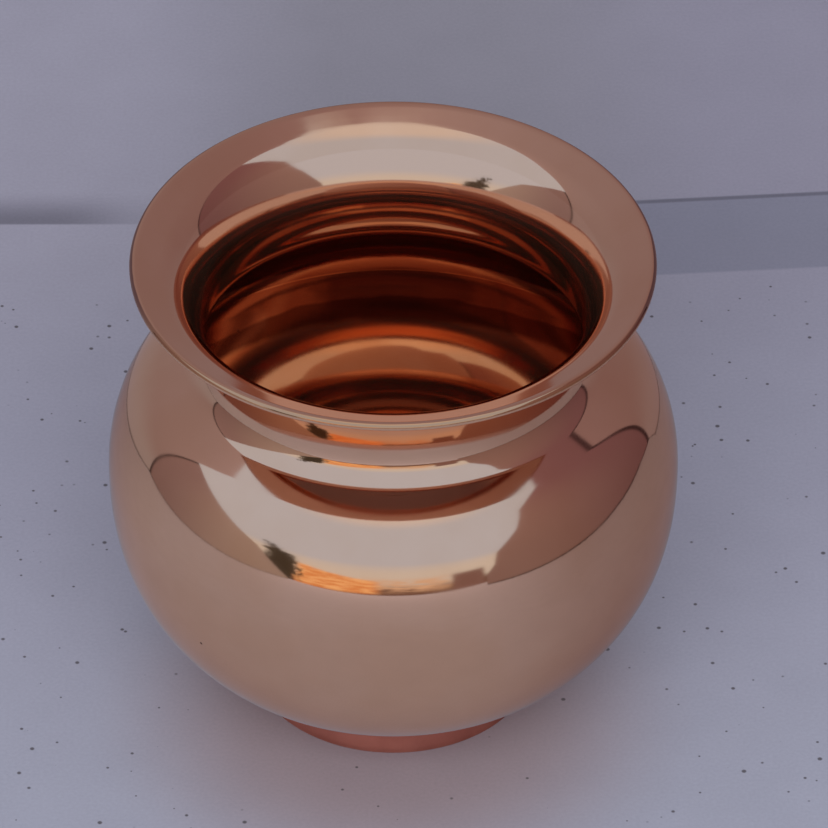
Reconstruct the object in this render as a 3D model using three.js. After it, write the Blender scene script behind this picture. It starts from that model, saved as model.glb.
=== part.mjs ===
// A copper lota: a round water pot with a short neck, a wide flared lip and a foot ring.
// It is made of two turned sheet halves joined flush at the belly, and a ring brazed on below.
// Millimetres, +Z up, origin at the centre of the face that the pot rests on.
import * as THREE from 'three';

const { degToRad } = THREE.MathUtils;

// Sheet and brazing
const wall = 0.75; // copper sheet of both halves
const brazeFilm = 0.25; // room for brazing alloy between two pieces
const brazeFit = 0.05; // the alloy's clearance to the copper on either side

// Belly below the widest circle
const bellyRadius = 55.5; // outside, at the widest circle
const bowlDepth = 50.6; // from the widest circle down to the bowl's lowest point
const bowlRise = 1.3; // of the bowl's lowest point above the resting face
const bowlFullness = 2.37; // 2 is an ellipse, more is squarer

// Shoulder, as arcs that run smoothly into each other; a slope is how far the outside looks up
const shoulderRadius = 34.9; // arc that starts at the widest circle
const shoulderTurn = degToRad(26.6); // slope at which that arc ends
const knuckleRadius = 15.6; // tighter arc that turns the shoulder inwards
const shoulderFlat = 4.6; // straight stretch between the tighter arc and the neck

// Neck and lip
const neckRadius = 37.15; // outside, at the waist
const neckFillet = 7.1; // hollow arc between shoulder and waist
const flareTurn = degToRad(33.6); // how far the neck leans out before the tighter bend of the lip
const flareRatio = 2.1; // the neck's hollow radius over the lip's
const lipTurn = degToRad(67.1); // how far the lip leans out at its edge
const lipRadius = 50.7; // outside, at the lip's edge
const hemLength = 3.6; // sheet folded back under the lip
const hemMargin = 1.2; // straight stretch of the lip that the fold leaves bare
const hemGap = 0.15; // between the two layers of the fold

// Joint at the belly, where the edges of both halves are thinned and overlap within the sheet
const lapHeight = 4.0; // how far the bowl's thinned edge reaches up behind the shoulder's

// Foot ring
const footRadius = 27.8; // outside, on the resting face
const footTopRadius = 26.6; // outside, where the ring meets the bowl
const footWall = 1.2;
const footEdgeRound = 0.3; // rounding of the ring's outer lower edge
const footFillet = 0.8; // alloy in the corners between ring and bowl

// Fineness of the round forms
const turns = 48; // flats round the pot
const bowlSteps = 11;
const shoulderSteps = 4;
const knuckleSteps = 4;
const filletSteps = 5;
const flareSteps = 4;
const bendSteps = 3;
const noseSteps = 4;
const lapSteps = 2;
const smallSteps = 2;

const copper = { color: 0xb8765a, roughness: 0.12, metalness: 1 };
const footCopper = { color: 0xa8583f, roughness: 0.35, metalness: 1 };
const brazeMetal = { color: 0xb98a58, roughness: 0.3, metalness: 1 };

// Numbers from first to last, both included.
function spread(first, last, steps) {
  return Array.from({ length: steps + 1 }, (_, i) => first + ((last - first) * i) / steps);
}

// Directions square to the sheet's outside and up along it, at a given slope.
const outwards = (slope) => new THREE.Vector2(Math.cos(slope), Math.sin(slope));
const upwards = (slope) => new THREE.Vector2(-Math.sin(slope), Math.cos(slope));

// An arc of the sheet's outside that starts at a point; a hollow arc has a negative radius.
function arcFrom(start, slope, radius) {
  return { radius, centre: start.clone().addScaledVector(outwards(slope), -radius) };
}

// The arc's point with a given slope, moved inwards through the sheet by depth.
function arcPoint(arc, slope, depth) {
  return arc.centre.clone().addScaledVector(outwards(slope), arc.radius - depth);
}

// Points of an arc from one slope to another.
function arcPoints(arc, first, last, steps, depth) {
  return spread(first, last, steps).map((slope) => arcPoint(arc, slope, depth));
}

// Radius of the waist that a shoulder with a given steepest slope would lead to.
function waistRadiusFor(slope) {
  const shoulderDrop = shoulderRadius * (1 - Math.cos(shoulderTurn));
  const knuckleDrop = knuckleRadius * (Math.cos(shoulderTurn) - Math.cos(slope));
  const neckDrop = shoulderFlat * Math.sin(slope) + neckFillet * (1 - Math.cos(slope));
  return bellyRadius - shoulderDrop - knuckleDrop - neckDrop;
}

// The steepest slope of the shoulder, found so that the waist gets its radius.
function findShoulderSlope() {
  let low = shoulderTurn;
  let high = Math.PI / 2;
  for (let i = 0; i < 60; i += 1) {
    const middle = (low + high) / 2;
    if (waistRadiusFor(middle) > neckRadius) low = middle;
    else high = middle;
  }
  return low;
}

const bellyHeight = bowlRise + bowlDepth;
const shoulderSlope = findShoulderSlope();
const noseRadius = hemGap / 2 + wall;
const lipFlat = hemLength + hemMargin;
const edgeReach = lipFlat * Math.sin(lipTurn) + (hemGap / 2) * Math.cos(lipTurn) + noseRadius;
const lipReach = lipRadius - neckRadius - edgeReach;
const bendShare = flareRatio * (1 - Math.cos(flareTurn)) + Math.cos(flareTurn) - Math.cos(lipTurn);
const bendRadius = lipReach / bendShare;

const shoulder = arcFrom(new THREE.Vector2(bellyRadius, bellyHeight), 0, shoulderRadius);
const knuckle = arcFrom(arcPoint(shoulder, shoulderTurn, 0), shoulderTurn, knuckleRadius);
const neckFoot = arcPoint(knuckle, shoulderSlope, 0).addScaledVector(upwards(shoulderSlope), shoulderFlat);
const fillet = arcFrom(neckFoot, shoulderSlope, -neckFillet);
const flare = arcFrom(arcPoint(fillet, 0, 0), 0, -flareRatio * bendRadius);
const bend = arcFrom(arcPoint(flare, -flareTurn, 0), -flareTurn, -bendRadius);

// A point of the lip's straight stretch, a given length beyond the bend.
function lipPoint(length, depth) {
  return arcPoint(bend, -lipTurn, depth).addScaledVector(upwards(-lipTurn), length);
}

// A point of the fold at the lip's edge; turn is 0 on the upper face and half a turn on the lower one.
function nosePoint(turn, radius) {
  return lipPoint(lipFlat, -hemGap / 2).addScaledVector(outwards(Math.PI - lipTurn - turn), radius);
}

// A point of the bowl, moved inwards by depth; lean is 0 at the widest circle and a quarter turn at the pole.
function bowlPoint(lean, depth) {
  const share = Math.sin(lean) ** (2 / bowlFullness);
  const radius = bellyRadius * Math.cos(lean);
  const normal = new THREE.Vector2(
    (2 * Math.cos(lean)) / bellyRadius,
    (-bowlFullness * share ** (bowlFullness - 1)) / bowlDepth,
  ).normalize();
  return new THREE.Vector2(radius - depth * normal.x, bellyHeight - bowlDepth * share - depth * normal.y);
}

// Height of the bowl's outside at a given radius.
function bowlHeightAt(radius) {
  return bowlPoint(Math.acos(radius / bellyRadius), 0).y;
}

// The slope at which the shoulder's outside is a given height above the widest circle.
const slopeAtHeight = (height) => Math.asin(height / shoulderRadius);

// A hollow corner between two points, bowed towards the corner.
function hollowCorner(start, corner, end) {
  const bow = new THREE.QuadraticBezierCurve(start, corner, end);
  return bow.getPoints(smallSteps);
}

// A solid turned about the Z axis from an outline of radius and height points.
function turned(name, outline, finish) {
  const geometry = new THREE.LatheGeometry(outline, turns);
  geometry.rotateX(Math.PI / 2);
  const mesh = new THREE.Mesh(geometry, new THREE.MeshStandardMaterial(finish));
  mesh.name = name;
  return mesh;
}

// The outline of a ring ends where it started.
const closed = (outline) => [...outline, outline[0].clone()];

const pole = Math.PI / 2;
const thinWall = (wall - brazeFilm) / 2; // each half's thinned edge
const lapSlope = slopeAtHeight(lapHeight);
const shellFootSlope = slopeAtHeight(brazeFilm);
const shellLedgeSlope = slopeAtHeight(lapHeight + brazeFilm);

// The round bowl, with a thinned upper edge that reaches up along the shoulder's inside.
function lowerBowl() {
  const outside = spread(pole, 0, bowlSteps).map((lean) => bowlPoint(lean, 0));
  const edgeOutside = arcPoints(shoulder, 0, lapSlope, lapSteps, wall - thinWall);
  const edgeInside = arcPoints(shoulder, lapSlope, 0, lapSteps, wall);
  const inside = spread(0, pole, bowlSteps).map((lean) => bowlPoint(lean, wall));
  const outline = [...outside, ...edgeOutside, ...edgeInside, ...inside.slice(1)];
  outline[0].x = 0;
  outline[outline.length - 1].x = 0;
  return turned('lower_bowl', outline, copper);
}

// The sheet's outside from the joint up to the lip's straight stretch.
function shellOutside() {
  return [
    ...arcPoints(shoulder, shellFootSlope, shoulderTurn, shoulderSteps, 0),
    ...arcPoints(knuckle, shoulderTurn, shoulderSlope, knuckleSteps, 0).slice(1),
    ...arcPoints(fillet, shoulderSlope, 0, filletSteps, 0),
    ...arcPoints(flare, 0, -flareTurn, flareSteps, 0).slice(1),
    ...arcPoints(bend, -flareTurn, -lipTurn, bendSteps, 0).slice(1),
  ];
}

// The sheet's inside from the lip down to the joint.
function shellInside() {
  return [
    ...arcPoints(bend, -lipTurn, -flareTurn, bendSteps, wall),
    ...arcPoints(flare, -flareTurn, 0, flareSteps, wall).slice(1),
    ...arcPoints(fillet, 0, shoulderSlope, filletSteps, wall).slice(1),
    ...arcPoints(knuckle, shoulderSlope, shoulderTurn, knuckleSteps, wall),
    ...arcPoints(shoulder, shoulderTurn, shellLedgeSlope, shoulderSteps, wall).slice(1),
    ...arcPoints(shoulder, shellLedgeSlope, shellFootSlope, lapSteps, thinWall),
  ];
}

// Shoulder, neck and lip in one sheet, with the lip's edge folded back underneath.
function upperShell() {
  const foldInside = spread(0, Math.PI, smallSteps).map((turn) => nosePoint(turn, hemGap / 2));
  const hemEdge = [lipPoint(hemMargin, -hemGap), lipPoint(hemMargin, -hemGap - wall)];
  const foldOutside = spread(Math.PI, 0, noseSteps).map((turn) => nosePoint(turn, noseRadius));
  const outline = [...shellOutside(), ...foldInside, ...hemEdge, ...foldOutside, ...shellInside()];
  return turned('upper_shell', closed(outline), copper);
}

// The alloy between the thinned edges, flush with the sheet outside and inside.
function bellyBraze() {
  const outerDepth = thinWall + brazeFit;
  const innerDepth = wall - thinWall - brazeFit;
  const lineBottomSlope = slopeAtHeight(brazeFit);
  const lineTopSlope = slopeAtHeight(brazeFilm - brazeFit);
  const ledgeBottomSlope = slopeAtHeight(lapHeight + brazeFit);
  const ledgeTopSlope = slopeAtHeight(lapHeight + brazeFilm - brazeFit);
  const outline = [
    arcPoint(shoulder, lineBottomSlope, 0),
    arcPoint(shoulder, lineTopSlope, 0),
    ...arcPoints(shoulder, lineTopSlope, ledgeTopSlope, lapSteps, outerDepth),
    arcPoint(shoulder, ledgeTopSlope, wall),
    arcPoint(shoulder, ledgeBottomSlope, wall),
    ...arcPoints(shoulder, ledgeBottomSlope, lineBottomSlope, lapSteps, innerDepth),
  ];
  return turned('belly_braze', closed(outline), brazeMetal);
}

const footTopOutside = new THREE.Vector2(footTopRadius, bowlHeightAt(footTopRadius) - brazeFilm);
const footTopInside = new THREE.Vector2(
  footTopRadius - footWall,
  bowlHeightAt(footTopRadius - footWall) - brazeFilm,
);

// The ring that the pot stands on, leaning in towards the bowl.
function footRing() {
  const lowerEdge = hollowCorner(
    new THREE.Vector2(footRadius - footEdgeRound, 0),
    new THREE.Vector2(footRadius, 0),
    new THREE.Vector2(footRadius, footEdgeRound),
  );
  const outline = [new THREE.Vector2(footRadius - footWall, 0), ...lowerEdge, footTopOutside, footTopInside];
  return turned('foot_ring', closed(outline), footCopper);
}

// The alloy between ring and bowl, with a hollow corner on each side of the ring.
function footBraze() {
  const outerLean = (footRadius - footTopRadius) / (footTopOutside.y - footEdgeRound);
  const innerLean = (footRadius - footTopRadius) / footTopInside.y;
  const bowlTouch = (radius) => new THREE.Vector2(radius, bowlHeightAt(radius) - brazeFit);
  const outerWall = new THREE.Vector2(footTopOutside.x + brazeFit, footTopOutside.y + brazeFit);
  const innerWall = new THREE.Vector2(footTopInside.x - brazeFit, footTopInside.y + brazeFit);
  const outerLow = new THREE.Vector2(outerWall.x + outerLean * footFillet, footTopOutside.y - footFillet);
  const innerLow = new THREE.Vector2(innerWall.x + innerLean * footFillet, footTopInside.y - footFillet);
  const outerTouch = footTopRadius + footFillet;
  const innerTouch = innerWall.x - footFillet;
  const outerCorner = hollowCorner(outerLow, bowlTouch(outerWall.x), bowlTouch(outerTouch));
  const underBowl = spread(outerTouch, innerTouch, smallSteps).slice(1, -1).map(bowlTouch);
  const innerCorner = hollowCorner(bowlTouch(innerTouch), bowlTouch(innerWall.x), innerLow);
  const outline = [...outerCorner, ...underBowl, ...innerCorner, innerWall, outerWall];
  return turned('foot_braze', closed(outline), brazeMetal);
}

const lota = new THREE.Group();
lota.add(lowerBowl(), upperShell(), bellyBraze(), footRing(), footBraze());

export default lota;
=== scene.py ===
"""A copper lota on folded paper under an evening sky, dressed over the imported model, in metres."""

import logging
import math
from dataclasses import dataclass, field
from enum import Enum
from functools import cached_property

import bpy
from mathutils import Euler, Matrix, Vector


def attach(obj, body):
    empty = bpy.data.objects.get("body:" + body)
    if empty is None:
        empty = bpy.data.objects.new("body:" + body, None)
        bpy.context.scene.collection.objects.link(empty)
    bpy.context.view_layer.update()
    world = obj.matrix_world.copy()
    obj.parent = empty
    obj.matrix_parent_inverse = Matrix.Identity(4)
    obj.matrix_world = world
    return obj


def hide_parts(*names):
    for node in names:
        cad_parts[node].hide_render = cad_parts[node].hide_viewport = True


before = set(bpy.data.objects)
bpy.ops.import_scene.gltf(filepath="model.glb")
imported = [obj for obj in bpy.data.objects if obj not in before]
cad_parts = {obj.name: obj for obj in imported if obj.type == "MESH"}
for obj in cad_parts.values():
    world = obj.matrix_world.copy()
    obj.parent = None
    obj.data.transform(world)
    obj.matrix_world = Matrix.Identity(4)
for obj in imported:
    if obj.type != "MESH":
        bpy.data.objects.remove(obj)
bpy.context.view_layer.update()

LOG = logging.getLogger("lota")
MM = 0.001
BODY = "root"

Colour = tuple[float, float, float]
Span = tuple[float, float]
WallPoint = tuple[float, float, float]
Outline = list[Vector]
Piece = bpy.types.Object
Face = bpy.types.MeshPolygon
Material = bpy.types.Material
Tree = bpy.types.NodeTree
Node = bpy.types.Node
Socket = bpy.types.NodeSocket
Input = float | Colour | Socket


class Slot(Enum):
    """Material slots of the record."""

    POLISHED = "polished_copper"
    FOOT = "foot_copper"
    BRAZE = "braze_alloy"


def spread(first: float, last: float, steps: int) -> list[float]:
    """Space numbers evenly from first to last, with a number of gaps between them."""
    return [first + (last - first) * index / steps for index in range(steps + 1)]


def outwards(slope: float) -> Vector:
    """Give the direction square to the sheet's outside, at a slope in radians."""
    return Vector((math.cos(slope), math.sin(slope)))


def upwards(slope: float) -> Vector:
    """Give the direction up along the sheet, at a slope in radians."""
    return Vector((-math.sin(slope), math.cos(slope)))


def aimed(place: Vector, aim: Vector) -> Euler:
    """Give the turn of a lamp or camera that looks from a place at an aim."""
    return (aim - place).to_track_quat("-Z", "Y").to_euler()


@dataclass(frozen=True)
class Arc:
    """An arc of a turned sheet's outside, hollow where its radius is negative."""

    centre: Vector
    radius: float

    @classmethod
    def starting(cls, start: Vector, slope: float, radius: float) -> "Arc":
        """Make the arc that starts at a point with a given slope."""
        return cls(start - outwards(slope) * radius, radius)

    def point(self, slope: float, depth: float = 0.0) -> Vector:
        """Give the arc's point with a given slope, moved inwards by depth."""
        return self.centre + outwards(slope) * (self.radius - depth)

    def points(self, first: float, last: float, steps: int, depth: float = 0.0) -> Outline:
        """Give points from one slope to another, moved inwards by depth."""
        return [self.point(slope, depth) for slope in spread(first, last, steps)]


def hollow_corner(start: Vector, corner: Vector, end: Vector, steps: int) -> Outline:
    """Round a corner inwards.

    Args:
        start: Where the rounding starts.
        corner: The sharp corner that it bows towards.
        end: Where it ends.
        steps: How many chords it has.

    Returns:
        Points from start to end.
    """
    shares = spread(0.0, 1.0, steps)
    return [start.lerp(corner, share).lerp(corner.lerp(end, share), share) for share in shares]


@dataclass(frozen=True)
class PotProfile:
    """The pot's outline and sheet, as the CAD source has them, but for a flare 0.07 mm lower.

    The fold at the lip is rounder here than in the CAD, and so stays inside the CAD model's box.
    """

    wall: float = 0.75 * MM
    braze_film: float = 0.25 * MM
    belly_radius: float = 55.5 * MM
    bowl_depth: float = 50.6 * MM
    bowl_rise: float = 1.3 * MM
    bowl_fullness: float = 2.37
    shoulder_radius: float = 34.9 * MM
    shoulder_turn: float = math.radians(26.6)
    knuckle_radius: float = 15.6 * MM
    shoulder_flat: float = 4.6 * MM
    neck_radius: float = 37.15 * MM
    neck_fillet: float = 7.1 * MM
    flare_turn: float = math.radians(33.6)
    flare_ratio: float = 2.07
    lip_turn: float = math.radians(67.1)
    lip_radius: float = 50.7 * MM
    hem_length: float = 3.6 * MM
    hem_margin: float = 1.2 * MM
    hem_gap: float = 0.15 * MM
    slope_error: float = 1e-9

    @cached_property
    def belly_height(self) -> float:
        """Height of the widest circle."""
        return self.bowl_rise + self.bowl_depth

    @cached_property
    def lip_flat(self) -> float:
        """Length of the lip's straight stretch."""
        return self.hem_length + self.hem_margin

    @cached_property
    def nose(self) -> float:
        """Radius of the fold at the lip's edge."""
        return self.hem_gap / 2 + self.wall

    @cached_property
    def bend_radius(self) -> float:
        """Radius of the tighter bend below the lip's straight stretch."""
        straight = self.lip_flat * math.sin(self.lip_turn)
        reach = straight + self.hem_gap / 2 * math.cos(self.lip_turn) + self.nose
        share = self.flare_ratio * (1 - math.cos(self.flare_turn))
        share += math.cos(self.flare_turn) - math.cos(self.lip_turn)
        return (self.lip_radius - self.neck_radius - reach) / share

    def waist_radius(self, slope: float) -> float:
        """Give the radius of the waist that a steepest slope of the shoulder leads to."""
        shoulder = self.shoulder_radius * (1 - math.cos(self.shoulder_turn))
        knuckle = self.knuckle_radius * (math.cos(self.shoulder_turn) - math.cos(slope))
        neck = self.shoulder_flat * math.sin(slope) + self.neck_fillet * (1 - math.cos(slope))
        return self.belly_radius - shoulder - knuckle - neck

    @cached_property
    def shoulder_slope(self) -> float:
        """The shoulder's steepest slope, found by halving."""
        low, high = self.shoulder_turn, math.pi / 2
        while high - low > self.slope_error:
            middle = (low + high) / 2
            if self.waist_radius(middle) > self.neck_radius:
                low = middle
            else:
                high = middle
        return low

    @cached_property
    def shoulder(self) -> Arc:
        """Arc from the widest circle upwards."""
        start = Vector((self.belly_radius, self.belly_height))
        return Arc.starting(start, 0.0, self.shoulder_radius)

    @cached_property
    def knuckle(self) -> Arc:
        """Tighter arc that turns the shoulder inwards."""
        start = self.shoulder.point(self.shoulder_turn)
        return Arc.starting(start, self.shoulder_turn, self.knuckle_radius)

    @cached_property
    def fillet(self) -> Arc:
        """Hollow arc between shoulder and waist."""
        top = self.knuckle.point(self.shoulder_slope)
        start = top + upwards(self.shoulder_slope) * self.shoulder_flat
        return Arc.starting(start, self.shoulder_slope, -self.neck_fillet)

    @cached_property
    def flare(self) -> Arc:
        """Hollow arc by which the neck leans out above the waist."""
        return Arc.starting(self.fillet.point(0.0), 0.0, -self.flare_ratio * self.bend_radius)

    @cached_property
    def bend(self) -> Arc:
        """Tighter hollow arc that leads to the lip."""
        start = self.flare.point(-self.flare_turn)
        return Arc.starting(start, -self.flare_turn, -self.bend_radius)

    def lip_point(self, length: float, depth: float = 0.0) -> Vector:
        """Give a point of the lip's straight stretch, a length beyond the bend."""
        return self.bend.point(-self.lip_turn, depth) + upwards(-self.lip_turn) * length

    def fold_point(self, turn: float, radius: float) -> Vector:
        """Give a point of the fold at the lip's edge, turned from its upper face."""
        centre = self.lip_point(self.lip_flat, -self.hem_gap / 2)
        return centre + outwards(math.pi - self.lip_turn - turn) * radius

    def bowl_point(self, lean: float, depth: float = 0.0) -> Vector:
        """Give a point of the bowl.

        Args:
            lean: Nought at the widest circle, and a quarter turn at the pole.
            depth: How far in from the outside it lies.

        Returns:
            The point's radius and height.
        """
        share = math.sin(lean) ** (2 / self.bowl_fullness)
        across = 2 * math.cos(lean) / self.belly_radius
        down = self.bowl_fullness * share ** (self.bowl_fullness - 1) / self.bowl_depth
        normal = Vector((across, -down)).normalized()
        radius = self.belly_radius * math.cos(lean)
        return Vector((radius, self.belly_height - self.bowl_depth * share)) - normal * depth

    def bowl_height(self, radius: float) -> float:
        """Give the height of the bowl's outside at a radius."""
        return self.bowl_point(math.acos(radius / self.belly_radius)).y

    def slope_at(self, height: float) -> float:
        """Give the shoulder's slope at a height above the widest circle."""
        return math.asin(height / self.shoulder_radius)


@dataclass(frozen=True)
class LapJoint:
    """The joint at the belly, where both halves' thinned edges overlap within the sheet."""

    height: float = 4.0 * MM
    clearance: float = 0.05 * MM

    def thin_wall(self, profile: PotProfile) -> float:
        """Give the thickness of each thinned edge."""
        return (profile.wall - profile.braze_film) / 2


class Modeller:
    """Makes meshes with Blender's own modelling tools."""

    merge_distance: float = 0.002 * MM
    crease_angle: float = math.radians(34.0)
    start_size: float = 2 * MM
    bevel_segments: int = 3

    def clear_selection(self) -> None:
        """Select nothing, so that the next tool acts on its own mesh alone."""
        if bpy.context.object and bpy.context.object.mode != "OBJECT":
            bpy.ops.object.mode_set(mode="OBJECT")
        bpy.ops.object.select_all(action="DESELECT")

    def pick(self, piece: Piece) -> None:
        """Select one piece alone and make it the active one."""
        self.clear_selection()
        piece.select_set(True)
        bpy.context.view_layer.objects.active = piece

    def start_chain(self, name: str, start: Vector) -> Piece:
        """Start a mesh as one point, and stay in edit mode.

        Args:
            name: The object's name.
            start: The point's place.

        Returns:
            The new object.
        """
        self.clear_selection()
        bpy.ops.mesh.primitive_plane_add(size=self.start_size, location=(0.0, 0.0, 0.0))
        piece = bpy.context.object
        piece.name = piece.data.name = name
        bpy.ops.object.mode_set(mode="EDIT")
        bpy.ops.mesh.select_mode(type="VERT")
        bpy.ops.mesh.select_all(action="SELECT")
        bpy.ops.mesh.merge(type="CENTER")
        bpy.ops.transform.translate(value=start)
        return piece

    def extend_chain(self, move: Vector) -> None:
        """Draw the chain's last point out by a move."""
        bpy.ops.mesh.extrude_region_move(TRANSFORM_OT_translate={"value": move})

    def turn(self, name: str, outline: Outline, steps: int) -> Piece:
        """Turn an outline about the Z axis.

        Args:
            name: The object's name.
            outline: Points of radius and height.
            steps: How many flats the piece has round its axis.

        Returns:
            The turned object, in object mode, with its doubles merged.
        """
        piece = self.start_chain(name, Vector((outline[0].x, 0.0, outline[0].y)))
        for start, end in zip(outline, outline[1:]):
            self.extend_chain(Vector((end.x - start.x, 0.0, end.y - start.y)))
        bpy.ops.mesh.select_all(action="SELECT")
        bpy.ops.mesh.remove_doubles(threshold=self.merge_distance)
        bpy.ops.mesh.spin(
            steps=steps, angle=math.tau, center=(0.0, 0.0, 0.0), axis=(0.0, 0.0, 1.0)
        )
        bpy.ops.mesh.select_all(action="SELECT")
        bpy.ops.mesh.remove_doubles(threshold=self.merge_distance)
        bpy.ops.mesh.normals_make_consistent(inside=False)
        bpy.ops.object.mode_set(mode="OBJECT")
        return piece

    def soften_ring(self, piece: Piece, places: Outline, width: float) -> None:
        """Bevel the edges that run round a piece through given places.

        Args:
            piece: The turned piece.
            places: Radius and height of each round edge.
            width: How far the bevel reaches on either side.
        """
        self.pick(piece)
        bpy.ops.object.mode_set(mode="EDIT")
        bpy.ops.mesh.select_all(action="DESELECT")
        bpy.ops.mesh.select_mode(type="VERT")
        bpy.ops.object.mode_set(mode="OBJECT")
        for vertex in piece.data.vertices:
            section = Vector((math.hypot(vertex.co.x, vertex.co.y), vertex.co.z))
            vertex.select = any((section - place).length < self.merge_distance for place in places)
        bpy.ops.object.mode_set(mode="EDIT")
        bpy.ops.mesh.select_mode(type="EDGE")
        bpy.ops.mesh.bevel(offset=width, segments=self.bevel_segments, affect="EDGES")
        bpy.ops.object.mode_set(mode="OBJECT")

    def smooth(self, piece: Piece) -> None:
        """Shade a piece smooth, but for its creases."""
        self.pick(piece)
        bpy.ops.object.shade_smooth_by_angle(angle=self.crease_angle)


class Wiring:
    """Adds nodes to a tree and joins them."""

    def __init__(self, tree: Tree) -> None:
        """Keep the tree that the nodes go into."""
        self.tree = tree

    def feed(self, socket: Socket, value: Input) -> None:
        """Join a socket to another, or set its value."""
        if isinstance(value, Socket):
            self.tree.links.new(value, socket)
        elif socket.type == "RGBA":
            socket.default_value = (*value, 1.0)
        else:
            socket.default_value = value

    def add(
        self, kind: str, inputs: dict[str | int, Input] | None = None, **settings: object
    ) -> Node:
        """Add a node.

        Args:
            kind: The node's type.
            inputs: Its inputs' values, by name or number.
            settings: Its other settings.

        Returns:
            The new node.
        """
        node = self.tree.nodes.new(kind)
        for name, value in settings.items():
            setattr(node, name, value)
        for key, value in (inputs or {}).items():
            self.feed(node.inputs[key], value)
        return node

    def math(self, operation: str, first: Input, second: Input = 0.0) -> Socket:
        """Work out one step of arithmetic."""
        return self.add("ShaderNodeMath", {0: first, 1: second}, operation=operation).outputs[0]

    def plus(self, first: Input, *others: Input) -> Socket:
        """Add values up."""
        for other in others:
            first = self.math("ADD", first, other)
        return first

    def minus(self, first: Input, second: Input) -> Socket:
        """Take one value from another."""
        return self.math("SUBTRACT", first, second)

    def times(self, first: Input, *others: Input) -> Socket:
        """Multiply values."""
        for other in others:
            first = self.math("MULTIPLY", first, other)
        return first

    def distance(self, x: Input, y: Input) -> Socket:
        """Give how far a point in a plane lies from the origin."""
        return self.math("SQRT", self.plus(self.times(x, x), self.times(y, y)))

    def azimuth(self, x: Socket, y: Socket) -> Socket:
        """Give the angle round the pot in degrees, with nought in front and right positive."""
        return self.degrees(self.math("ARCTAN2", x, self.times(y, -1.0)))

    def fade(self, value: Input, start: Input, end: Input) -> Socket:
        """Rise smoothly from nought at start to one at end."""
        inputs = {"Value": value, "From Min": start, "From Max": end}
        node = self.add("ShaderNodeMapRange", inputs, interpolation_type="SMOOTHSTEP")
        return node.outputs["Result"]

    def step(self, value: Input, place: float, soft: float) -> Socket:
        """Rise about a place, or fall where the softness is negative."""
        return self.fade(value, place - soft, place + soft)

    def band(self, value: Input, low: float, high: float, soft: float) -> Socket:
        """Give one between two values and nought outside, with soft edges."""
        return self.times(self.step(value, low, soft), self.step(value, high, -soft))

    def blend(self, share: Input, first: Input, second: Input, mode: str = "MIX") -> Socket:
        """Mix two colours."""
        inputs = {0: share, 6: first, 7: second}
        return self.add("ShaderNodeMix", inputs, data_type="RGBA", blend_type=mode).outputs[2]

    def split(self, vector: Socket) -> tuple[Socket, Socket, Socket]:
        """Split a vector into its three numbers."""
        node = self.add("ShaderNodeSeparateXYZ", {0: vector})
        return node.outputs[0], node.outputs[1], node.outputs[2]

    def join(self, x: Input, y: Input, z: Input) -> Socket:
        """Make a vector of three numbers."""
        return self.add("ShaderNodeCombineXYZ", {0: x, 1: y, 2: z}).outputs[0]

    def noise(
        self, vector: Socket, scale: Input, detail: float = 2.0, roughness: float = 0.5
    ) -> Socket:
        """Give smooth noise between nought and one."""
        inputs = {"Vector": vector, "Scale": scale, "Detail": detail, "Roughness": roughness}
        return self.add("ShaderNodeTexNoise", inputs).outputs["Fac"]

    def wander(self, place: Socket, scale: float, reach: float) -> Socket:
        """Give noise about nought, by its scale and its reach from lowest to highest."""
        return self.times(self.minus(self.noise(place, scale, 3.0), 0.5), reach)

    def degrees(self, radians: Socket) -> Socket:
        """Turn radians into degrees."""
        return self.math("DEGREES", radians)

    def place(self) -> Socket:
        """Give the place on the piece, in its own coordinates."""
        return self.add("ShaderNodeTexCoord").outputs["Object"]

    def glossy(self) -> Socket:
        """Tell whether a ray comes from a mirroring surface."""
        return self.add("ShaderNodeLightPath").outputs["Is Glossy Ray"]

    def mix_surfaces(self, share: Input, first: Socket, second: Socket) -> Socket:
        """Mix two surfaces."""
        return self.add("ShaderNodeMixShader", {0: share, 1: first, 2: second}).outputs[0]


def start_material(name: str) -> tuple[Material, Wiring]:
    """Make a material with an empty tree, and the wiring of that tree."""
    material = bpy.data.materials.new(name)
    material.use_nodes = True
    material.node_tree.nodes.clear()
    return material, Wiring(material.node_tree)


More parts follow.
